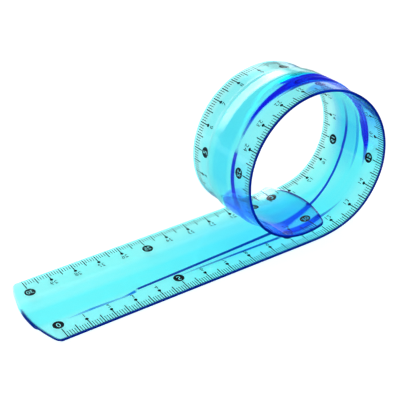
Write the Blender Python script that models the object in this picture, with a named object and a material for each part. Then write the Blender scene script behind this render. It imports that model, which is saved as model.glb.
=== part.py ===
# Flexible 30 cm ruler of clear soft plastic: a flat tail, then one leaning curl whose end tucks inside.
# Metres, +Z up. The origin lies on the resting face, mid-width, below the zero mark of the near scale.
# +X runs along the tail toward the curl, and +Y runs across the ruler to the far scale.

import math

import bmesh
import bpy
import numpy as np

MM = 0.001

# The blank as it is moulded, before it is rolled
SCALE_LENGTH = 300 * MM
RULER_WIDTH = 38 * MM
END_MARGIN = 7.5 * MM  # from the last mark to the crown of the rounded end
END_RADIUS = 46 * MM  # the end's arc, seen in plan
CORNER_RADIUS = 3 * MM
WING_THICKNESS = 1 * MM  # the two thin wings that carry the scales
BAND_THICKNESS = 2 * MM  # the stiffer band between them
BAND_WIDTH = 12 * MM  # the band's flat crown
SHOULDER_WIDTH = 3.5 * MM  # from the crown down to a wing
RIM_ROUND = 0.25 * MM

# How it lies on the table
TAIL_LENGTH = 105 * MM  # flat, from the zero mark to where the bend starts
TUCK_CLEARANCE = 0.8 * MM  # between the tucked end's band and the stretch below it
LEAN_ANGLE = math.radians(5.7)  # the curl leans toward the far scale
LEAN_LENGTH = 40 * MM  # over which the lean sets in
CURL_LENGTH = SCALE_LENGTH - TAIL_LENGTH

# Place along the curl, and the bend there in whole turns per curl length
BEND_SHARES = (
    (0.00, 0.00),
    (0.11, 1.17),
    (0.24, 1.17),
    (0.40, 0.92),
    (0.55, 0.99),
    (0.70, 0.99),
)
TUCK_PLACE_SHARE = 0.86
TUCK_BEND_SHARES = (0.9, 1.9)  # gentlest and tightest bend that the tuck may take
LAST_BEND_SHARE = 1.10

# How finely the faces follow the form
TAIL_ROWS = 5
CURL_ROWS = 54
CROWN_STEPS = 2
SHOULDER_STEPS = 4
CORNER_STEPS = 3
END_ROW_SHARES = (0.35, 0.7, 1.0)
ROLL_POINTS = 4001
RIM_SEGMENTS = 2
SHARP_ANGLE = math.radians(40)

PLASTIC_COLOUR = (0.28, 0.83, 1.0, 1.0)
PLASTIC_ROUGHNESS = 0.06
PLASTIC_CLEARNESS = 0.9
PLASTIC_INDEX = 1.53


def clear_scene():
    for item in list(bpy.data.objects):
        bpy.data.objects.remove(item, do_unlink=True)


def new_collection(name):
    collection = bpy.data.collections.new(name)
    bpy.context.scene.collection.children.link(collection)
    return collection


def plastic_material():
    material = bpy.data.materials.new("clear_blue_vinyl")
    material.use_nodes = True
    shader = material.node_tree.nodes["Principled BSDF"]
    shader.inputs["Base Color"].default_value = PLASTIC_COLOUR
    shader.inputs["Metallic"].default_value = 0
    shader.inputs["Roughness"].default_value = PLASTIC_ROUGHNESS
    shader.inputs["Transmission Weight"].default_value = PLASTIC_CLEARNESS
    shader.inputs["IOR"].default_value = PLASTIC_INDEX
    material.diffuse_color = PLASTIC_COLOUR
    return material


def eased(share):
    held = min(max(share, 0), 1)
    return held * held * (3 - 2 * held)


# Outline and section of the blank


def corner_centre():
    """How far out past the last mark, and how far across, a corner's arc has its centre."""
    across = RULER_WIDTH / 2 - CORNER_RADIUS
    inward = math.sqrt((END_RADIUS - CORNER_RADIUS) ** 2 - across**2)
    return END_MARGIN - END_RADIUS + inward, across


def end_reach(across):
    """How far the rounded end stands out past the last mark, at this place across."""
    side = abs(across)
    centre_out, centre_across = corner_centre()
    meets = centre_across * END_RADIUS / (END_RADIUS - CORNER_RADIUS)
    if side < meets:
        return END_MARGIN - END_RADIUS + math.sqrt(END_RADIUS**2 - side**2)
    return centre_out + math.sqrt(max(CORNER_RADIUS**2 - (side - centre_across) ** 2, 0))


def thickness(across):
    down = (abs(across) - BAND_WIDTH / 2) / SHOULDER_WIDTH
    return BAND_THICKNESS - (BAND_THICKNESS - WING_THICKNESS) * eased(down)


def places_across():
    crown_edge = BAND_WIDTH / 2
    half = [crown_edge * step / CROWN_STEPS for step in range(1, CROWN_STEPS + 1)]
    for step in range(1, SHOULDER_STEPS + 1):
        half.append(crown_edge + SHOULDER_WIDTH * step / SHOULDER_STEPS)
    for step in range(CORNER_STEPS + 1):
        half.append(corner_centre()[1] + CORNER_RADIUS * math.sin(math.pi / 2 * step / CORNER_STEPS))
    return [-place for place in reversed(half)] + [0] + half


def rows_along():
    """Each row as a place on the scale and a share of the rounded end's reach beyond it."""
    rows = [(0, -share) for share in reversed(END_ROW_SHARES)]
    rows += [(TAIL_LENGTH * row / TAIL_ROWS, 0) for row in range(TAIL_ROWS)]
    rows += [(TAIL_LENGTH + CURL_LENGTH * row / CURL_ROWS, 0) for row in range(CURL_ROWS + 1)]
    rows += [(SCALE_LENGTH, share) for share in END_ROW_SHARES]
    return rows


def flat_blank():
    """The flat strip with its back face up at zero height and its band hanging below."""
    columns = places_across()
    rows = rows_along()
    blank = bmesh.new()
    bmesh.ops.create_grid(blank, x_segments=len(rows) - 1, y_segments=len(columns) - 1, size=1)
    for point in blank.verts:
        row = round((point.co.x + 1) / 2 * (len(rows) - 1))
        column = round((point.co.y + 1) / 2 * (len(columns) - 1))
        mark, share = rows[row]
        across = columns[column]
        point.co = (mark + share * end_reach(across), across, 0)
    top = blank.faces[:]
    grown = bmesh.ops.extrude_face_region(blank, geom=top, use_keep_orig=True)["geom"]
    lower = [item for item in grown if isinstance(item, bmesh.types.BMVert)]
    for point in lower:
        point.co.z = -thickness(point.co.y)
    bmesh.ops.recalc_face_normals(blank, faces=blank.faces[:])
    return blank


def round_rim(blank):
    """Rounds the two long edges that run all the way round the strip."""
    walls = [face for face in blank.faces if abs(face.normal.z) < math.cos(SHARP_ANGLE) / 2]
    ring = {edge for face in walls for edge in face.edges}
    rim = [edge for edge in ring if any(face not in walls for face in edge.link_faces)]
    bmesh.ops.bevel(blank, geom=rim, offset=RIM_ROUND, segments=RIM_SEGMENTS, profile=0.5, affect="EDGES")


# Rolling it up


def roll_line(tuck_bend):
    """Mid-line of the back face in its own plane: place on the scale, run, rise and heading."""
    bends = BEND_SHARES + ((TUCK_PLACE_SHARE, tuck_bend), (1.0, LAST_BEND_SHARE))
    along = np.linspace(-END_MARGIN, SCALE_LENGTH + END_MARGIN, ROLL_POINTS)
    places = [TAIL_LENGTH + share * CURL_LENGTH for share, _ in bends]
    turn_rates = [2 * math.pi * turns / CURL_LENGTH for _, turns in bends]
    rate = np.interp(along, places, turn_rates)
    step = along[1] - along[0]
    heading = np.concatenate([[0], np.cumsum((rate[1:] + rate[:-1]) / 2 * step)])
    middle = (heading[1:] + heading[:-1]) / 2
    run = along[0] + np.concatenate([[0], np.cumsum(np.cos(middle) * step)])
    rise = np.concatenate([[0], np.cumsum(np.sin(middle) * step)])
    return along, run, rise, heading


def tuck_gap(line):
    """Least distance between the back faces of the tucked end and of the stretch below it."""
    _, run, rise, heading = line
    below = heading < math.pi / 2
    tucked = heading > 3 * math.pi / 2
    apart = np.hypot(run[tucked][:, None] - run[below], rise[tucked][:, None] - rise[below])
    return apart.min()


def tucked_roll_line():
    """The roll whose tucked end clears the stretch below by the band's thickness and its clearance."""
    gentle, tight = TUCK_BEND_SHARES
    for _ in range(40):
        tuck_bend = (gentle + tight) / 2
        if tuck_gap(roll_line(tuck_bend)) < BAND_THICKNESS + TUCK_CLEARANCE:
            gentle = tuck_bend
        else:
            tight = tuck_bend
    return roll_line(tight)


def rolled(point, line):
    """Where a point of the flat blank lies on the rolled ruler."""
    along, run, rise, heading = line
    mark, across, height = point
    turned = np.interp(mark, along, heading)
    x = np.interp(mark, along, run) - math.sin(turned) * height
    z = np.interp(mark, along, rise) + math.cos(turned) * height + BAND_THICKNESS
    lean = LEAN_ANGLE * eased((mark - TAIL_LENGTH) / LEAN_LENGTH)
    y = across * math.cos(lean) + z * math.sin(lean)
    return x, y, z * math.cos(lean) - across * math.sin(lean)


def ruler_strip(collection):
    blank = flat_blank()
    round_rim(blank)
    line = tucked_roll_line()
    for point in blank.verts:
        point.co = rolled(point.co, line)
    mesh = bpy.data.meshes.new("ruler_strip")
    blank.to_mesh(mesh)
    blank.free()
    mesh.shade_smooth()
    mesh.set_sharp_from_angle(angle=SHARP_ANGLE)
    mesh.materials.append(plastic_material())
    strip = bpy.data.objects.new("ruler_strip", mesh)
    collection.objects.link(strip)
    print(f"tucked end clears the stretch below by {(tuck_gap(line) - BAND_THICKNESS) / MM:.2f} mm")
    return strip


def main():
    clear_scene()
    ruler_strip(new_collection("flexible_ruler"))


main()
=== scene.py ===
# Flexible ruler of clear blue soft plastic, flat at one end and curled once at the other.
# The strip and its print are made flat, as they come off the press,
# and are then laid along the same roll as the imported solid.

import math

import bmesh
import bpy
import numpy as np
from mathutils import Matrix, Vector


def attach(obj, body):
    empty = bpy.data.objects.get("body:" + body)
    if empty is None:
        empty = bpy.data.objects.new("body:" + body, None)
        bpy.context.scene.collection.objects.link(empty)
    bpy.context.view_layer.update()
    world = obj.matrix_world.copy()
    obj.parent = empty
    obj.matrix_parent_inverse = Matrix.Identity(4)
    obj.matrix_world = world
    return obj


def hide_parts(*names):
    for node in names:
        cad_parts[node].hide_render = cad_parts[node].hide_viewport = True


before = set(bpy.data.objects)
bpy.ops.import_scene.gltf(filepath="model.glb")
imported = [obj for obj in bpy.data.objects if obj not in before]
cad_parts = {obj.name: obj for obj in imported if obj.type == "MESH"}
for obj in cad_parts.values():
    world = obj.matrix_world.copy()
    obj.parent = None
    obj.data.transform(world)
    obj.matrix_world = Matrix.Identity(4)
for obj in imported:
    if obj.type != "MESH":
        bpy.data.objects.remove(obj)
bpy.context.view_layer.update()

mm = 0.001

# The blank: the same sizes as the solid has
blank = {
    "scaleLength": 300 * mm,
    "width": 38 * mm,
    "endMargin": 7.5 * mm,  # past the last mark
    "endRadius": 46 * mm,
    "cornerRadius": 3 * mm,
    "wingThickness": 1 * mm,
    "bandThickness": 2 * mm,
    "bandWidth": 12 * mm,  # the flat crown
    "shoulderWidth": 3.5 * mm,
    "rimRound": 0.25 * mm,
}

# The roll: flat, then one leaning turn whose end tucks inside
roll = {
    "tailLength": 105 * mm,
    "tuckClearance": 0.8 * mm,
    "leanAngle": math.radians(5.7),
    "leanLength": 40 * mm,
    # place along the curl, and the bend there in turns per curl length
    "bends": [(0, 0), (0.11, 1.17), (0.24, 1.17), (0.40, 0.92), (0.55, 0.99), (0.70, 0.99)],
    "tuckPlace": 0.86,
    "tuckBends": (0.9, 1.9),
    "lastBend": 1.10,
    "points": 4001,
    "halvings": 40,
}


def pickOnly(piece):
    for item in bpy.context.selected_objects:
        item.select_set(False)
    bpy.context.view_layer.objects.active = piece
    if piece is not None:
        piece.select_set(True)


def startEdit(piece, mode="FACE"):
    pickOnly(piece)
    bpy.ops.object.mode_set(mode="EDIT")
    bpy.ops.mesh.select_mode(type=mode)


def endEdit():
    bpy.ops.object.mode_set(mode="OBJECT")


def pickParts(piece, kind, wanted):
    # picks the faces, edges or points in edit mode that the test wants
    form = bmesh.from_edit_mesh(piece.data)
    bpy.ops.mesh.select_all(action="DESELECT")
    for part in getattr(form, kind):
        if wanted(part):
            part.select_set(True)
    bmesh.update_edit_mesh(piece.data)


def applyModifiers(piece):
    pickOnly(piece)
    for modifier in list(piece.modifiers):
        bpy.ops.object.modifier_apply(modifier=modifier.name)


def bakePlace(piece):
    pickOnly(piece)
    bpy.ops.object.transform_apply(location=True, rotation=True, scale=True)


def joined(pieces, name):
    pickOnly(pieces[0])
    for piece in pieces[1:]:
        piece.select_set(True)
    if len(pieces) > 1:
        bpy.ops.object.join()
    pieces[0].name = name
    pieces[0].data.name = name
    return pieces[0]


def points(piece):
    flat = np.empty(len(piece.data.vertices) * 3)
    piece.data.vertices.foreach_get("co", flat)
    return flat.reshape(-1, 3)


def setPoints(piece, places):
    piece.data.vertices.foreach_set("co", places.ravel())
    piece.data.update()


def eased(share):
    held = np.clip(share, 0, 1)
    return held * held * (3 - 2 * held)


# The roll that the strip and the print follow

def rollLine(tuckBend):
    length, tail = blank["scaleLength"], roll["tailLength"]
    curl = length - tail
    bends = roll["bends"] + [(roll["tuckPlace"], tuckBend), (1, roll["lastBend"])]
    along = np.linspace(-blank["endMargin"], length + blank["endMargin"], roll["points"])
    places = [tail + share * curl for share, _ in bends]
    rate = np.interp(along, places, [2 * math.pi * turns / curl for _, turns in bends])
    step = along[1] - along[0]
    heading = np.concatenate([[0], np.cumsum((rate[1:] + rate[:-1]) / 2 * step)])
    middle = (heading[1:] + heading[:-1]) / 2
    run = along[0] + np.concatenate([[0], np.cumsum(np.cos(middle) * step)])
    rise = np.concatenate([[0], np.cumsum(np.sin(middle) * step)])
    return along, run, rise, heading


def tuckGap(line):
    # least distance between the tucked end and the stretch below it
    _, run, rise, heading = line
    below, tucked = heading < math.pi / 2, heading > 3 * math.pi / 2
    return np.hypot(run[tucked][:, None] - run[below], rise[tucked][:, None] - rise[below]).min()


def tuckedLine():
    # the bend near the end for which the tucked end just clears the stretch below it
    gentle, tight = roll["tuckBends"]
    for _ in range(roll["halvings"]):
        bend = (gentle + tight) / 2
        if tuckGap(rollLine(bend)) < blank["bandThickness"] + roll["tuckClearance"]:
            gentle = bend
        else:
            tight = bend
    return rollLine(tight)


rolledLine = tuckedLine()


def layOnRoll(piece):
    # flat place (along, across, height over the back face) to its place on the rolled ruler
    along, run, rise, heading = rolledLine
    flat = points(piece)
    spot = piece.data.attributes.new("flatPlace", "FLOAT_VECTOR", "POINT")
    spot.data.foreach_set("vector", (flat / mm).astype(np.float32).ravel())
    mark, across, height = flat.T
    turned = np.interp(mark, along, heading)
    x = np.interp(mark, along, run) - np.sin(turned) * height
    z = np.interp(mark, along, rise) + np.cos(turned) * height + blank["bandThickness"]
    lean = roll["leanAngle"] * eased((mark - roll["tailLength"]) / roll["leanLength"])
    y = across * np.cos(lean) + z * np.sin(lean)
    setPoints(piece, np.stack([x, y, z * np.cos(lean) - across * np.sin(lean)], 1))


# The strip

stripShape = {
    "rowsTail": 60,
    "rowsCurl": 260,
    "crownSteps": 4,
    "shoulderSteps": 10,
    "wingSteps": 3,
    "cornerSteps": 7,
    "endRows": 12,
    "rimSegments": 3,
    "wallSlope": 0.3,  # a face that leans less than this from upright is part of the wall
    "sharpAngle": math.radians(50),
}
halfWidth = blank["width"] / 2

# Where the rim gets painted light and shade: a deep painted shade with a blue glow on the near side of
# these places across, a pale painted glow elsewhere
rimShade = {
    "width": 0.75 * mm,
    "fade": 4 * mm,
    "nearSide": 1 * mm,  # along the long edges
    "tailSide": 6 * mm,  # round the open end
    "curlSide": 17 * mm,  # round the tucked end
}


def cornerCentre():
    across = halfWidth - blank["cornerRadius"]
    inward = math.sqrt((blank["endRadius"] - blank["cornerRadius"]) ** 2 - across ** 2)
    return blank["endMargin"] - blank["endRadius"] + inward, across


def endReach(across):
    # how far the rounded end stands out past the last mark
    side = abs(across)
    radius, corner = blank["endRadius"], blank["cornerRadius"]
    out, centre = cornerCentre()
    if side < centre * radius / (radius - corner):
        return blank["endMargin"] - radius + math.sqrt(radius ** 2 - side ** 2)
    return out + math.sqrt(max(corner ** 2 - (side - centre) ** 2, 0))


def thickness(across):
    down = (np.abs(across) - blank["bandWidth"] / 2) / blank["shoulderWidth"]
    return blank["bandThickness"] - (blank["bandThickness"] - blank["wingThickness"]) * eased(down)


def spread(low, high, steps):
    # even steps from low to high, without low itself
    return [low + (high - low) * step / steps for step in range(1, steps + 1)]


def placesAcross():
    crown = blank["bandWidth"] / 2
    foot = crown + blank["shoulderWidth"]
    corner = cornerCentre()[1]
    half = spread(0, crown, stripShape["crownSteps"])
    half += spread(crown, foot, stripShape["shoulderSteps"])
    half += spread(foot, corner, stripShape["wingSteps"])
    half += [corner + blank["cornerRadius"] * math.sin(turn)
             for turn in spread(0, math.pi / 2, stripShape["cornerSteps"])]
    return [-place for place in reversed(half)] + [0] + half


def placesAlong():
    # each row is a mark on the scale and a share of the end's reach past it
    tail, length = roll["tailLength"], blank["scaleLength"]
    ends = spread(0, 1, stripShape["endRows"])
    marks = spread(0, tail, stripShape["rowsTail"]) + spread(tail, length, stripShape["rowsCurl"])
    rows = [(0, -share) for share in reversed(ends)] + [(0, 0)]
    return rows + [(mark, 0) for mark in marks] + [(length, share) for share in ends]


def noteRims(strip):
    mark, across, _ = points(strip).T
    length = blank["scaleLength"]
    reach = np.array([endReach(min(abs(place), halfWidth)) for place in across])
    gap = np.minimum(halfWidth - abs(across), np.minimum(mark + reach, length + reach - mark))
    rim = 1 - np.clip(gap / rimShade["width"], 0, 1)
    deep = eased((rimShade["nearSide"] - across) / rimShade["fade"])
    deep = np.where(mark < 0, eased((rimShade["tailSide"] - across) / rimShade["fade"]), deep)
    deep = np.where(mark > length, eased((rimShade["curlSide"] - across) / rimShade["fade"]), deep)
    # shares of the rim that get the deep painted shade and the pale painted glow
    for name, share in (("deepRim", rim * deep), ("paleRim", rim * (1 - deep))):
        spot = strip.data.attributes.new(name, "FLOAT", "POINT")
        spot.data.foreach_set("value", share.astype(np.float32))


def makeStrip():
    columns, rows = placesAcross(), placesAlong()
    bpy.ops.mesh.primitive_grid_add(x_subdivisions=len(rows) - 1,
                                    y_subdivisions=len(columns) - 1, size=2)
    strip = bpy.context.object
    strip.name = strip.data.name = "plastic_strip"
    places = points(strip)
    row = np.rint((places[:, 0] + 1) / 2 * (len(rows) - 1)).astype(int)
    column = np.rint((places[:, 1] + 1) / 2 * (len(columns) - 1)).astype(int)
    mark, share = np.array(rows)[row].T
    across = np.array(columns)[column]
    reach = np.array([endReach(place) for place in across])
    setPoints(strip, np.stack([mark + share * reach, across, np.zeros(len(row))], 1))

    startEdit(strip)
    bpy.ops.mesh.select_all(action="SELECT")
    down = {"value": (0, 0, -blank["wingThickness"])}
    bpy.ops.mesh.extrude_region_move(TRANSFORM_OT_translate=down)
    endEdit()
    places = points(strip)
    lower = places[:, 2] < -blank["wingThickness"] / 2
    places[lower, 2] = -thickness(places[lower, 1])  # the band hangs below the flat back
    setPoints(strip, places)

    startEdit(strip, "EDGE")
    bpy.ops.mesh.select_all(action="SELECT")
    bpy.ops.mesh.normals_make_consistent(inside=False)
    walls = {face.index for face in bmesh.from_edit_mesh(strip.data).faces
             if abs(face.normal.z) < stripShape["wallSlope"]}
    pickParts(strip, "edges", lambda edge: len(edge.link_faces) == 2
              and sum(face.index in walls for face in edge.link_faces) == 1)
    bpy.ops.mesh.bevel(offset=blank["rimRound"], segments=stripShape["rimSegments"], affect="EDGES")
    endEdit()
    bpy.ops.object.shade_smooth_by_angle(angle=stripShape["sharpAngle"])
    noteRims(strip)
    layOnRoll(strip)
    strip.modifiers.new("evenShine", "WEIGHTED_NORMAL").keep_sharp = True
    applyModifiers(strip)
    return strip


strip = makeStrip()
print("strip", len(strip.data.polygons), "faces")

# The print, in ink on the flat back face

ink = {
    "depth": 0.03 * mm,  # each way from the back face
    "tickWidth": 0.26 * mm,
    "strongWidth": 0.4 * mm,
    "millimetre": 3.3 * mm,  # how far in from the edge each kind of tick reaches
    "half": 4.7 * mm,
    "centimetre": 5.3 * mm,
    "dotRadius": 0.66 * mm,
    "dotCorners": 12,
    "discRadius": 2.1 * mm,
    "discResolution": 12,
    "discPlace": 7.8 * mm,
    "numberPlace": 7.6 * mm,
    "numberSize": 2.15 * mm,
    "numberBold": -0.02 * mm,
    "digitShare": 0.73,  # a digit's height as a share of the font's size
    "discNumberSize": (2.4 * mm, 2.1 * mm),  # one digit, two digits
    "discNumberBold": 0.15 * mm,
    "slice": 1 * mm,
    "weld": 0.001 * mm,
    "edgeGap": 0.28 * mm,  # the print stops where the rim rounds off
}
numberStep = 10 * mm
numbers = round(blank["scaleLength"] / numberStep)
discEvery = 5  # every fifth number stands in a disc


def addTick(mark, reach, width):
    start = ink["edgeGap"]
    bpy.ops.mesh.primitive_cube_add(size=1, location=(mark, -halfWidth + (start + reach) / 2, 0),
                                    scale=(width, reach - start, 2 * ink["depth"]))
    tick = bpy.context.object
    bakePlace(tick)
    return tick


def addDot(mark):
    bpy.ops.mesh.primitive_cylinder_add(vertices=ink["dotCorners"], radius=ink["dotRadius"],
                                        depth=2 * ink["depth"],
                                        location=(mark, -halfWidth + ink["centimetre"], 0))
    dot = bpy.context.object
    bakePlace(dot)
    return dot


def repeat(piece, count, step):
    array = piece.modifiers.new("repeat", "ARRAY")
    array.count = count
    array.use_relative_offset = False
    array.use_constant_offset = True
    array.constant_offset_displace = (step, 0, 0)
    applyModifiers(piece)
    return piece


def farCopy(piece, name):
    # the far scale is the near one turned half round: it counts back from the curled end
    turned = piece.copy()
    turned.data = piece.data.copy()
    turned.name = turned.data.name = name
    bpy.context.collection.objects.link(turned)
    places = points(turned)
    places[:, 0] = blank["scaleLength"] - places[:, 0]
    places[:, 1] = -places[:, 1]
    setPoints(turned, places)
    return turned


def makeTicks():
    # one centimetre of fine ticks and its half, repeated; the strong ticks have one more at the end
    fine = [addTick(step * mm, ink["millimetre"], ink["tickWidth"])
            for step in (1, 2, 3, 4, 6, 7, 8, 9)]
    fine.append(addTick(5 * mm, ink["half"], ink["strongWidth"]))
    ticks = repeat(joined(fine, "ticks"), numbers, numberStep)
    strong = repeat(addTick(0, ink["centimetre"], ink["strongWidth"]), numbers + 1, numberStep)
    return joined([ticks, strong], "scale_ticks_near")


def makeDots():
    dots = [addDot(mark * numberStep) for mark in range(1, discEvery)]
    return repeat(joined(dots, "scale_dots_near"), numbers // discEvery, discEvery * numberStep)


def addWord(text, size, bold):
    bpy.ops.object.text_add()
    word = bpy.context.object
    word.data.body = text
    word.data.size = size / ink["digitShare"]
    word.data.align_x = "CENTER"
    word.data.align_y = "CENTER"
    word.data.offset = bold
    return word


def sliced(piece):
    # cuts across, so that the flat faces can follow the curl
    startEdit(piece)
    low, high = points(piece)[:, 0].min(), points(piece)[:, 0].max()
    place = math.ceil(low / ink["slice"]) * ink["slice"] + ink["slice"] / 2
    while place < high:
        bpy.ops.mesh.select_all(action="SELECT")
        bpy.ops.mesh.bisect(plane_co=(place, 0, 0), plane_no=(1, 0, 0))
        place += ink["slice"]
    endEdit()
    return piece


def standUp(word, mark, place):
    # mesh first, then its place; the print reads from the band's side, so it is mirrored here
    pickOnly(word)
    word.data.dimensions = "2D"
    word.data.fill_mode = "BOTH"
    word.data.extrude = ink["depth"]
    bpy.ops.object.convert(target="MESH")
    places = points(word)
    places[:, 0] += mark
    places[:, 1] = -halfWidth + place - places[:, 1]
    setPoints(word, places)
    startEdit(word)
    bpy.ops.mesh.select_all(action="SELECT")
    bpy.ops.mesh.remove_doubles(threshold=ink["weld"])
    bpy.ops.mesh.normals_make_consistent(inside=False)
    endEdit()
    return word


def makeNumbers():
    words = []
    for mark in range(1, numbers):
        if mark % discEvery:
            word = addWord(str(mark), ink["numberSize"], ink["numberBold"])
            words.append(standUp(word, mark * numberStep, ink["numberPlace"]))
    return sliced(joined(words, "scale_numbers_near"))


def makeDiscs():
    # a circle and the number's outlines in one curve, so that the number is cut out of the disc
    discs = []
    for mark in range(0, numbers + 1, discEvery):
        size = ink["discNumberSize"][len(str(mark)) - 1]
        word = addWord(str(mark), size, ink["discNumberBold"])
        pickOnly(word)
        bpy.ops.object.convert(target="CURVE")
        bpy.ops.curve.primitive_bezier_circle_add(radius=ink["discRadius"])
        disc = bpy.context.object
        disc.data.resolution_u = ink["discResolution"]
        disc.select_set(True)
        word.select_set(True)
        bpy.context.view_layer.objects.active = disc
        bpy.ops.object.join()
        discs.append(standUp(disc, mark * numberStep, ink["discPlace"]))
    return sliced(joined(discs, "scale_discs_near"))


nearPrint = [makeTicks(), makeDots(), makeNumbers(), makeDiscs()]
farPrint = [farCopy(piece, piece.name.replace("near", "far")) for piece in nearPrint]
printPieces = nearPrint + farPrint
for piece in printPieces:
    layOnRoll(piece)
    print(piece.name, len(piece.data.polygons), "faces")


# Materials

class Wire:
    # one output of a node; a sum on it adds a Math node
    def __init__(self, finish, socket):
        self.finish, self.socket = finish, socket

    def sum(self, operation, first, second=None):
        sockets = {0: first} if second is None else {0: first, 1: second}
        return self.finish.node("ShaderNodeMath", {"operation": operation}, sockets)

    def other(self, name):
        return Wire(self.finish, self.socket.node.outputs[name])

    def __add__(self, right):
        return self.sum("ADD", self, right)

    def __radd__(self, left):
        return self.sum("ADD", left, self)

    def __sub__(self, right):
        return self.sum("SUBTRACT", self, right)

    def __rsub__(self, left):
        return self.sum("SUBTRACT", left, self)

    def __mul__(self, right):
        return self.sum("MULTIPLY", self, right)

    def __rmul__(self, left):
        return self.sum("MULTIPLY", left, self)

    def __truediv__(self, right):
        return self.sum("DIVIDE", self, right)

    def __gt__(self, right):
        return self.sum("GREATER_THAN", self, right)

    def __abs__(self):
        return self.sum("ABSOLUTE", self)


class Finish:
    # the nodes of one material, or of the world
    def __init__(self, owner):
        self.owner = owner
        owner.use_nodes = True
        self.tree = owner.node_tree
        self.tree.nodes.clear()

    def node(self, kind, settings=None, sockets=None, output=0):
        node = self.tree.nodes.new(kind)
        for name, value in (settings or {}).items():
            if name == "stops":
                setStops(node.color_ramp, value)
            else:
                setattr(node, name, value)
        for name, value in (sockets or {}).items():
            if isinstance(value, Wire):
                self.tree.links.new(value.socket, node.inputs[name])
            else:
                node.inputs[name].default_value = value
        return Wire(self, node.outputs[output]) if node.outputs else None

    def attribute(self, name, output):
        return self.node("ShaderNodeAttribute", {"attribute_name": name}, {}, output)

    def parts(self, vector):
        first = self.node("ShaderNodeSeparateXYZ", {}, {0: vector}, "X")
        return first, first.other("Y"), first.other("Z")

    def rise(self, value, low, high):
        # 0 at low, 1 at high, eased between them
        return self.node("ShaderNodeMapRange", {"interpolation_type": "SMOOTHSTEP"},
                         {"Value": value, "From Min": low, "From Max": high})

    def mix(self, share, under, over, kind="MIX"):
        return self.node("ShaderNodeMix", {"data_type": "RGBA", "blend_type": kind},
                         {0: share, 6: under, 7: over}, 2)

    def noise(self, place, scale, detail=2):
        return self.node("ShaderNodeTexNoise", {},
                         {"Vector": place, "Scale": scale, "Detail": detail}, "Fac")

    def bump(self, height):
        return self.node("ShaderNodeBump", {},
                         {"Height": height, "Distance": 1.0, "Strength": 1.0}, "Normal")

    def finish(self, surface, volume=None):
        sockets = {"Surface": surface}
        if volume is not None:
            sockets["Volume"] = volume
        self.node("ShaderNodeOutputMaterial", {}, sockets)
        return self.owner


def newFinish(name):
    return Finish(bpy.data.materials.new(name))


def setStops(ramp, stops):
    while len(ramp.elements) < len(stops):
        ramp.elements.new(1)
    for element, (place, _) in zip(ramp.elements, stops):
        element.position = place
    for element, (_, colour) in zip(ramp.elements, stops):
        element.color = colour


plasticLook = {
    "sheet": (0.75, 0.91, 0.89, 1),
    "streak": (0.78, 0.985, 1.0, 1),
    "streakStretch": (0.02, 0.45, 0.2),  # long streaks along the strip
    "streakScale": 1.4,
    "streakDetail": 3,
    "lampTint": (0.9, 0.99, 1.0, 1),
    "absorb": (0.0, 0.95, 0.975, 1),
    "density": 500,
    "index": 1.5,
    "gloss": (0.5, 0.62, 0.72, 1),
    "roughness": 0.05,
    "backDepth": (-0.3, -0.05),  # heights in mm between which the band's side turns into the back
    "lastBounce": 3.5,  # glossy bounces after which a path is cut short
    # painted glow, emitted where a path is cut short: the next two colours stand in for light that has run
    # inside the plastic
    "trapped": (0.0, 0.04, 0.70, 1),  # light that has run a long way inside the plastic
    "trappedTail": (0.35, 0.90, 0.95, 1),  # the same near the open end, where it is still pale
    "trappedFrom": (142, 150),  # marks between which the one turns into the other
    # painted rim shade, and the painted glows of the deep and the pale rims
    "rimPaintedShade": (0.0, 0.01, 0.06, 1),
    "deepRim": (0.0, 0.008, 0.20, 1),
    "paleRim": (0.2, 0.55, 0.58, 1),
}

# Slight heights in mm that only tilt the shading, and the places between which each eases in
relief = {
    "dome": 0.45,  # the crown falls away toward its edges
    "domeFar": (0.5, 8),
    "domeNear": (3.5, 9.5),
    "shoulder": (6, 9.5),  # the near shoulder is evened
    "evenUntil": (150, 158),  # but not between these marks
    "evenAfter": (230, 242),
    "fall": 1.4,  # over the top of the curl, the crown falls toward its near side
    "fallAcross": (0, 6),
    "fallFrom": (176, 188),
    "fallUntil": (194, 234),
    "hang": 0.6,  # the far corner of the tucked end hangs
    "hangAlong": (288, 300),
    "hangAcross": (10, 21),
}
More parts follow.
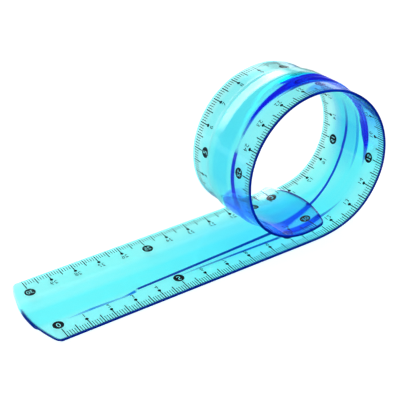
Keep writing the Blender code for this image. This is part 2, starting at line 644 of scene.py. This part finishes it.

# Painted light and shade: tints that stand in for the light gathered along the strip, on the flat back and
# on the band's side.
# A course is a list of (mark, across, half its width, strength), all in mm but the strength
backPaintedTints = [
    {"tint": (1.0, 0.92, 0.90, 1), "kind": "MIX", "soft": 3, "course": [  # paler streak at the open end
        (-8, 4, 2, 1), (20, 4, 2, 0.9), (40, 4, 2, 0.2), (50, 4, 2, 0)]},
    {"tint": (0.75, 0.93, 1.0, 1), "kind": "MIX", "soft": 4, "course": [  # below the tucked end
        (94, 0, 16, 0), (99, 0, 16, 1), (112, 0, 16, 1), (118, 0, 16, 0)]},
    {"tint": (0.50, 0.96, 1.0, 1), "soft": 4, "course": [  # near half of the tail's band
        (-8, -4, 2.5, 0.6), (60, -4, 2.5, 1), (110, -4, 3, 1), (125, -5, 3, 1), (140, -6, 3, 0.8),
        (148, -6, 3, 0.3), (155, -6, 3, 0)]},
    {"tint": (0.42, 0.83, 1.0, 1), "soft": 6, "course": [  # the tail toward the curl
        (40, -1, 5, 0), (60, 0, 8, 0.5), (75, 0, 9, 0.85), (92, 0, 9, 1), (118, 0, 9, 0.75),
        (128, 0, 9, 0.5), (140, 0, 9, 0.25), (150, 2, 9, 0.3), (160, 0, 9, 0.3), (172, 0, 9, 0)]},
    {"tint": (0.45, 1.0, 0.97, 1), "soft": 3, "course": [  # far wing
        (-8, 12, 3, 0.4), (5, 12, 3, 0.55), (20, 12, 3, 0.75), (40, 12, 3, 0.8), (60, 12, 3, 0.5),
        (90, 12, 3, 0.3), (118, 12, 3, 0.5), (122, 9.5, 4, 0.9), (135, 9.5, 4, 1), (146, 9.5, 4, 0.9),
        (155, 9, 4, 0.8), (161, 9, 4, 0.1), (164, 9, 4, 0)]},
    {"tint": (0.2, 0.92, 1.0, 1), "soft": 7, "course": [  # inside of the curl, at its right
        (112, -7, 11, 0), (124, -7, 11, 0.15), (138, -7, 11, 0.5), (150, -7, 12, 1), (182, -7, 13, 1),
        (194, -7, 13, 0)]},
    {"tint": (0.17, 0.92, 0.95, 1), "soft": 3, "course": [  # near wing
        (-8, -15, 5, 0.4), (6, -15, 5, 0.46), (20, -15, 5, 0.62), (40, -15, 5, 0.62), (60, -15, 5, 0.87),
        (85, -15, 5, 1), (112, -15, 5, 1), (125, -15, 5, 0.75), (135, -15, 5, 0.58), (145, -15, 5, 0.42),
        (154, -15, 5, 0)]},
    {"tint": (0.14, 0.45, 0.80, 1), "soft": 5, "course": [  # far half of the band, inside the curl
        (138, 4.5, 4, 0), (149, 4.5, 5, 0.7), (160, 4, 5, 0.9), (162.5, 3.5, 5, 0.7), (170, 3, 5, 0.6),
        (178, 2, 5, 0)]},
    {"tint": (0.1, 0.3, 1.0, 1), "soft": 3, "course": [  # near wing, inside the curl
        (146, -14, 4.5, 0), (155, -14, 4.5, 0.2), (163, -14, 4.5, 0.65), (168, -13, 5, 1), (178, -13, 5, 1),
        (190, -13, 5, 0)]},
    {"tint": (0.0, 0.01, 0.30, 1), "soft": 1.2, "course": [  # the same, under the top of the curl
        (168, -19.5, 0.3, 0), (172, -18.3, 2.2, 1), (176, -16.3, 4.3, 1), (188, -15.7, 4.8, 1),
        (196, -16, 5, 0)]},
    {"tint": (0.0, 0.003, 0.17, 1), "soft": 0.4, "course": [  # the band's near edge, along the tail
        (32.8, -8.7, 0.3, 0), (34, -8.6, 0.42, 1), (50, -8.1, 0.48, 1), (75, -7.2, 0.52, 1),
        (96, -6.3, 0.62, 1), (101, -4.6, 0.7, 0)]},
    {"tint": (0.0, 0.004, 0.42, 1), "soft": 0.5, "course": [  # the same, inside the curl
        (117.5, -0.3, 0.5, 0), (119, 0, 0.52, 1), (120, 0.2, 0.5, 1),
        (128, 2.2, 0.42, 1), (135, 3.6, 0.42, 1), (142, 4.4, 0.45, 1), (150, 4.7, 0.55, 1),
        (158, 3.9, 0.55, 1), (166, 2.8, 0.5, 0.7), (174, 1.4, 0.6, 0)]},
    {"tint": (0.0, 0.02, 0.35, 1), "soft": 0.4, "course": [  # the near shoulder's foot, along the tail
        (46, -10.1, 0.1, 0), (60, -10.1, 0.22, 0.8), (75, -10.2, 0.32, 1), (96, -10.5, 0.45, 1),
        (101, -10.4, 0.5, 0)]},
    {"tint": (0.0, 0.03, 0.50, 1), "soft": 0.5, "course": [  # the same, where the curl starts
        (115, -8.7, 0.5, 0), (118, -8.7, 0.5, 1), (124, -8.7, 0.25, 0.8), (131, -8.9, 0.1, 0)]},
    {"tint": (0.0, 0.002, 0.50, 1), "soft": 0.6, "course": [  # the same, up the inside of the curl
        (145, -9.0, 0.1, 0), (149, -8.8, 0.4, 0.9), (154, -8.3, 1.0, 1), (158, -7.7, 1.9, 1),
        (164, -7.6, 2.2, 1), (170, -8.6, 1.8, 0.85), (176, -8.8, 2.4, 1), (186, -9.5, 2.6, 0.4),
        (194, -10, 2.6, 0)]},
    {"tint": (0.04, 0.25, 0.75, 1), "soft": 0.5, "course": [  # faint wisp in the curl
        (140, -3.6, 0.15, 0), (150, -3.2, 0.5, 1), (158, -3.1, 0.6, 1), (166, -3.8, 0.5, 0.8),
        (173, -5.0, 0.3, 0)]},
    {"tint": (0.0, 0.10, 0.60, 1), "soft": 0.5, "course": [  # where the shoulder starts to gather light
        (2, -9.9, 0.1, 0), (9, -9.8, 0.25, 0.7), (14, -9.7, 0.35, 1), (20, -9.8, 0.3, 0.9),
        (27, -10, 0.25, 0.7), (33.5, -9.8, 0.2, 0)]},
    {"tint": (0.0, 0.06, 0.6, 1), "soft": 0.6, "course": [  # its wider end
        (26, -10, 0.2, 0), (29.5, -9.8, 0.3, 1), (32.3, -9.4, 0.5, 1), (33.3, -9.2, 0.3, 0)]},
    {"tint": (1.0, 0.80, 1.0, 1), "kind": "MIX", "soft": 6, "course": [  # the tucked end
        (270, -6, 10, 0), (280, -6, 12, 1), (292, -4, 12, 1), (308, -4, 12, 1)]},
    {"tint": (1.0, 0.72, 1.0, 1), "soft": 6, "course": [  # the same, toward its near side
        (276, -8, 6, 0), (282, -8, 6, 1), (308, -8, 6, 1)]},
    {"tint": (0.0, 0.22, 0.95, 1), "soft": 2, "course": [  # its near wing
        (276, -18, 3, 0), (282, -18, 3, 1), (292, -18, 2, 1), (298, -18, 1.2, 0.8), (306, -18, 0.8, 0.4)]},
    {"tint": (0.0, 0.03, 0.85, 1), "soft": 1.4, "course": [  # its band's near edge
        (280, -12.5, 2.0, 0), (287, -10.7, 2.4, 0.8), (292, -9.0, 1.6, 1), (297, -7.4, 1.1, 1),
        (302, -6.6, 0.9, 1), (308, -6.1, 0.8, 1)]},
    {"tint": (0.0, 0.02, 0.72, 1), "soft": 1.0, "course": [  # its near shoulder's foot
        (280, -15.5, 1.8, 0), (288, -15.4, 1.5, 1), (297, -14.8, 1.2, 1), (308, -14.5, 1.1, 1)]},
    {"tint": (0.06, 0.12, 0.90, 1), "soft": 4, "course": [  # its near wing, at its foot
        (270, -14, 4, 0), (278, -12, 5, 1), (285, -12, 5, 0.9), (292, -12, 3, 0)]},
]
# Painted blue glow, standing in for light gathered in the plastic: added as emission and not multiplied
backPaintedGlows = [
    {"tint": (0.0, 0.03, 0.42, 1), "soft": 5, "course": [  # gathered at the foot of the tucked end
        (272, -16, 6, 0), (280, -16, 5, 1), (289, -16, 4.5, 1), (297, -18, 2, 0.5), (304, -19, 1, 0)]},
]
bandPaintedTints = [
    {"tint": (0.85, 0.95, 1.0, 1), "kind": "MIX", "soft": 4, "course": [  # the tucked end
        (272, 0, 17, 0), (280, 0, 17, 1), (308, 0, 17, 1)]},
    {"tint": (0.75, 0.93, 1.0, 1), "kind": "MIX", "soft": 4, "course": [  # below the tucked end
        (94, 0, 16, 0), (99, 0, 16, 1), (112, 0, 16, 1), (118, 0, 16, 0)]},
    # painted highlight: over the top of the curl the plastic is made paler where it mirrors a bright light
    {"tint": (1, 1, 1, 1), "kind": "MIX", "soft": 5, "course": [  # paler over the top of the curl
        (176, 12, 10, 0), (186, 11, 10, 1), (196, 11, 9, 0.9), (204, 11, 8, 0)]},
    {"tint": (0.36, 0.88, 0.96, 1), "soft": 5, "course": [  # the outside of the curl
        (190, -10, 10, 0), (203, -7, 12, 0.8), (212, -3, 15, 1), (270, -3, 15, 1), (290, -3, 15, 0)]},
    {"tint": (0.30, 0.75, 0.95, 1), "soft": 3, "course": [  # its band, lower down
        (212, -1.5, 1.5, 0), (225, -1.5, 3, 0.7), (240, -1, 3.5, 1), (256, -1, 3.5, 1), (264, -1, 3.5, 0)]},
    {"tint": (0.0, 0.002, 0.48, 1), "soft": 0.6, "course": [  # the band's near edge, outside the curl
        (178, 0, 3.2, 0), (188, -2.6, 4.2, 1), (190, -3.3, 4.1, 1), (195, -4.6, 3.3, 1),
        (200, -5.4, 2.7, 1), (205, -6.2, 2.0, 1), (210, -6.9, 1.4, 1), (217, -7.4, 0.7, 1),
        (226, -7.8, 0.3, 1), (236, -8.1, 0.2, 0.9), (238.5, -8.1, 0.1, 0.3), (241, -8.1, 0.1, 0.3),
        (243, -8.1, 0.1, 0)]},
    {"tint": (0.0, 0.001, 0.45, 1), "soft": 0.5, "course": [  # the same, where the curl comes down
        (241, -8.1, 0.2, 0), (243.5, -8.2, 0.5, 1), (250, -8.4, 0.6, 1), (256, -8.7, 0.65, 1),
        (262, -9.0, 1.0, 1), (272, -9.6, 1.2, 1), (284, -10, 1.0, 0)]},
    {"tint": (0.0, 0.01, 0.25, 1), "soft": 0.45, "course": [  # its second line
        (186, -7.8, 0.2, 0), (197, -8.8, 0.3, 0.9), (205, -9.3, 0.42, 1), (212, -9.6, 0.38, 1),
        (221, -9.6, 0.15, 0)]},
    {"tint": (0.20, 0.70, 1.0, 1), "soft": 3, "course": [  # the near wing, lower down
        (236, -13, 4, 0), (245, -13, 4, 0.5), (255, -13, 4, 1), (264, -13, 4, 1), (272, -13, 4, 0)]},
    {"tint": (0.08, 0.36, 0.95, 1), "soft": 1.5, "course": [  # the near wing, over the top of the curl
        (172, -13.5, 4, 0), (182, -14, 4, 0.9), (192, -14.5, 4.5, 1), (200, -15.3, 4.2, 1),
        (207, -17, 3, 1), (214, -19.5, 1.5, 0)]},
    {"tint": (0.0, 0.006, 0.78, 1), "soft": 2, "course": [  # where the curl comes down to the tail
        (254, -17, 1, 0), (258, -14, 6, 0.7), (263, -10, 8, 0.9), (270, -8, 10, 1), (280, -8, 11, 1),
        (288, -8, 11, 0)]},
]
# painted blue glow on the band's side, added as emission
bandPaintedGlows = [
    {"tint": (0.0, 0.02, 0.25, 1), "soft": 3, "course": [  # in the near wing, over the top of the curl
        (186, -14, 3, 0), (194, -14, 4, 1), (203, -14, 4, 1), (209, -17, 3, 0)]},
    {"tint": (0.0, 0.0, 0.25, 1), "soft": 3, "course": [  # where the curl comes down
        (254, -17, 1, 0), (258, -14, 6, 0.7), (263, -10, 8, 0.9), (270, -8, 8, 1), (280, -8, 8, 1),
        (288, -8, 8, 0)]},
]


rampReach = 20  # a ramp's colour holds places up to this many mm from the middle, as 0 to 1


def along(finish, mark, across, paint):
    # how far a place lies inside the course of a tint
    course, soft = paint["course"], paint["soft"]
    low, high = course[0][0], course[-1][0]
    stops = []
    for at, side, half, strength in course:
        held = (side / (2 * rampReach) + 0.5, half / rampReach, strength, 1)
        stops.append(((at - low) / (high - low), held))
    line = finish.node("ShaderNodeValToRGB", {"stops": stops}, {"Fac": (mark - low) / (high - low)})
    middle, half, strength = finish.parts(line)
    inside = half * rampReach + soft - abs(across - (middle - 0.5) * (2 * rampReach))
    return finish.rise(inside, 0, soft) * strength


def tuckedLift(finish, mark, across):
    corner = finish.rise(mark, *relief["hangAlong"]) * finish.rise(across, *relief["hangAcross"])
    return corner * -relief["hang"]


def crownLift(finish, mark, across):
    nearby = 0 - across
    even = (1 - finish.rise(mark, *relief["evenUntil"])
            + finish.rise(mark, *relief["evenAfter"]))
    edges = (finish.rise(across, *relief["domeFar"])
             + (1 - even) * finish.rise(nearby, *relief["domeNear"]))
    dome = edges * -relief["dome"]
    step = even * finish.rise(nearby, *relief["shoulder"])
    over = finish.rise(mark, *relief["fallFrom"]) * (1 - finish.rise(mark, *relief["fallUntil"]))
    return dome + (step - over * finish.rise(nearby, *relief["fallAcross"]) * relief["fall"])


def clearPlastic():
    plastic = newFinish("clear_blue_plastic")
    place = plastic.attribute("flatPlace", "Vector")
    mark, across, height = plastic.parts(place)
    back = plastic.rise(height, *plasticLook["backDepth"])
    stretched = plastic.node("ShaderNodeVectorMath", {"operation": "MULTIPLY"},
                             {0: place, 1: plasticLook["streakStretch"]})
    streaks = plastic.noise(stretched, plasticLook["streakScale"], plasticLook["streakDetail"])
    colour = plastic.mix(streaks, plasticLook["sheet"], plasticLook["streak"], "MULTIPLY")
    for side, tints in ((back, backPaintedTints), (1 - back, bandPaintedTints)):
        for paint in tints:
            share = along(plastic, mark, across, paint) * side
            colour = plastic.mix(share, colour, paint["tint"], paint.get("kind", "MULTIPLY"))
    deepRim, paleRim = plastic.attribute("deepRim", "Fac"), plastic.attribute("paleRim", "Fac")
    # painted shade: the deep rims are dark navy and metallic, so that they look full of shade
    colour = plastic.mix(deepRim, colour, plasticLook["rimPaintedShade"])

    # Painted glow: emission for the light still owed where a path is cut short, and for what the profile
    # gathers
    shadowRay = plastic.node("ShaderNodeLightPath", {}, {}, "Is Shadow Ray")
    spent = shadowRay.other("Glossy Depth") > plasticLook["lastBounce"]
    trapped = plastic.mix(plastic.rise(mark, *plasticLook["trappedFrom"]),
                          plasticLook["trappedTail"], plasticLook["trapped"])
    glow = plastic.mix(spent, (0, 0, 0, 1), trapped)
    for side, glows in ((back, backPaintedGlows), (1 - back, bandPaintedGlows)):
        for paint in glows:
            share = along(plastic, mark, across, paint) * side
            glow = plastic.mix(share, glow, paint["tint"], "ADD")
    # painted glow in the rims: blue in the deep ones, pale in the others
    glow = plastic.mix(deepRim, glow, plasticLook["deepRim"], "ADD")
    glow = plastic.mix(paleRim, glow, plasticLook["paleRim"], "ADD")

    lift = crownLift(plastic, mark, across) * (1 - back) + tuckedLift(plastic, mark, across) * back
    glass = plastic.node("ShaderNodeBsdfPrincipled", {}, {
        "Base Color": colour,
        "Metallic": deepRim,
        "Roughness": plasticLook["roughness"],
        "IOR": plasticLook["index"],
        "Specular Tint": plasticLook["gloss"],
        "Transmission Weight": 1.0,
        "Emission Color": glow,
        "Emission Strength": 1.0,
        "Normal": plastic.bump(lift * mm),
    })
    lampThrough = plastic.node("ShaderNodeBsdfTransparent", {}, {"Color": plasticLook["lampTint"]})
    surface = plastic.node("ShaderNodeMixShader", {}, {0: shadowRay, 1: glass, 2: lampThrough})
    inside = plastic.node("ShaderNodeVolumeAbsorption", {}, {
        "Color": plasticLook["absorb"], "Density": plasticLook["density"]})
    return plastic.finish(surface, inside)


inkLook = {
    "full": (0.0, 0.002, 0.004, 1),
    "thin": (0.0, 0.008, 0.012, 1),
    "gloss": (0.3, 0.6, 1.0, 1),
    "shine": 0.25,
    "roughness": 0.2,
    "rougher": 0.1,  # this much more where the ink is thin
    "patch": 900,  # thinner patches to the metre
}


def printInk():
    black = newFinish("printed_ink")
    place = black.node("ShaderNodeTexCoord", {}, {}, "Object")
    cover = black.noise(place, inkLook["patch"])
    mark, across, _ = black.parts(black.attribute("flatPlace", "Vector"))
    return black.finish(black.node("ShaderNodeBsdfPrincipled", {}, {
        "Base Color": black.mix(cover, inkLook["full"], inkLook["thin"]),
        "Roughness": cover * inkLook["rougher"] + inkLook["roughness"],
        "Specular IOR Level": inkLook["shine"],
        "Specular Tint": inkLook["gloss"],
        "Normal": black.bump(tuckedLift(black, mark, across) * mm),
    }))


def dress(piece, material):
    piece.data.materials.clear()
    piece.data.materials.append(material)


dress(strip, clearPlastic())
inkFinish = printInk()
for piece in printPieces:
    dress(piece, inkFinish)
print("materials made")

# Floor, lights and camera

studio = {
    "floorSize": 6,
    "floorDrop": 0.05 * mm,
    "floorPale": ((0.79, 0.79, 0.79, 1), (0.81, 0.81, 0.81, 1)),
    "floorGrain": 400,
    "floorRoughness": 0.85,
    "floorRougher": 0.1,
    "floorGlow": 0.86,
    "mirroredFloorShade": (0.06, 0.06, 0.06, 1),
    "mirroredUntil": (0.18, 0.32),  # metres behind the ruler, over which the dimming ends
    "horizon": 0.5,
    "sky": 0.16,
    "skyFrom": (0.03, 0.25),
    "arch": 8,
    "archInner": (0.835, 0.88),
    "archOuter": (0.89, 0.935),
    "archFoot": (0, 0.3),
    "archLean": 0.1,
    "softbox": 1,
    "softboxPlace": (0.1, -0.1, 1.4),
    "softboxSize": 1.2,
}


def paleFloor():
    floor = newFinish("pale_floor")
    place = floor.node("ShaderNodeTexCoord", {}, {}, "Object")
    grain = floor.noise(place, studio["floorGrain"])
    # mirrored in the plastic, the floor's glow is dimmer near the ruler: a painted shade in the plastic's
    # reflection of the floor
    _, behind, _ = floor.parts(place)
    mirrored = floor.node("ShaderNodeLightPath", {}, {}, "Is Reflection Ray")
    dimmed = mirrored * (1 - floor.rise(behind, *studio["mirroredUntil"]))
    return floor.finish(floor.node("ShaderNodeBsdfPrincipled", {}, {
        "Base Color": floor.mix(grain, *studio["floorPale"]),
        "Roughness": grain * studio["floorRougher"] + studio["floorRoughness"],
        "Emission Color": floor.mix(dimmed, (1, 1, 1, 1), studio["mirroredFloorShade"]),
        "Emission Strength": studio["floorGlow"],
    }))


def makeFloor():
    bpy.ops.mesh.primitive_plane_add(size=studio["floorSize"], location=(0, 0, -studio["floorDrop"]))
    floor = bpy.context.object
    floor.name = "studio_floor"
    dress(floor, paleFloor())


def lightRound():
    # bright all round at the height of the table, softer overhead,
    # and an arch of light behind the ruler
    world = bpy.data.worlds.new("studio")
    bpy.context.scene.world = world
    sky = Finish(world)
    x, y, z = sky.parts(sky.node("ShaderNodeTexCoord", {}, {}, "Generated"))
    low, high = studio["skyFrom"]
    fall = sky.node("ShaderNodeMapRange", {}, {
        "Value": z, "From Min": low, "From Max": high,
        "To Min": studio["horizon"], "To Max": studio["sky"]})
    lean = y + x.sum("MAXIMUM", x, 0) * studio["archLean"]
    arch = sky.rise(lean, *studio["archInner"]) * (1 - sky.rise(lean, *studio["archOuter"]))
    arch = arch * sky.rise(z, *studio["archFoot"])
    light = sky.node("ShaderNodeBackground", {}, {
        "Color": (1, 1, 1, 1), "Strength": fall + arch * studio["arch"]})
    sky.node("ShaderNodeOutputWorld", {}, {"Surface": light})


def addSoftbox():
    bpy.ops.object.light_add(type="AREA", location=studio["softboxPlace"])
    lamp = bpy.context.object
    lamp.name = "softbox_above"
    lamp.data.shape = "SQUARE"
    lamp.data.size = studio["softboxSize"]
    lamp.data.energy = studio["softbox"]


makeFloor()
lightRound()
addSoftbox()

camera = {
    "azimuth": math.radians(33.174),
    "elevation": math.radians(33.069),
    "distance": 425.18 * mm,
    "target": (66.72 * mm, 0, 24.43 * mm),
    "lens": 102.38,
    "sensor": 36,
    "nearest": 0.01,
}


def placeCamera():
    turn, lift = camera["azimuth"], camera["elevation"]
    level = math.cos(lift)
    ahead = Vector((level * math.sin(turn), level * math.cos(turn), -math.sin(lift)))
    bpy.ops.object.camera_add(location=Vector(camera["target"]) - ahead * camera["distance"])
    eye = bpy.context.object
    eye.rotation_euler = ahead.to_track_quat("-Z", "Y").to_euler()
    eye.data.lens = camera["lens"]
    eye.data.sensor_width = camera["sensor"]
    eye.data.clip_start = camera["nearest"]
    bpy.context.scene.camera = eye


placeCamera()
bpy.context.scene.view_settings.view_transform = "Standard"
print("floor, lights and camera placed")

for piece in [strip] + printPieces:
    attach(piece, "root")
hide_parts("ruler_strip")
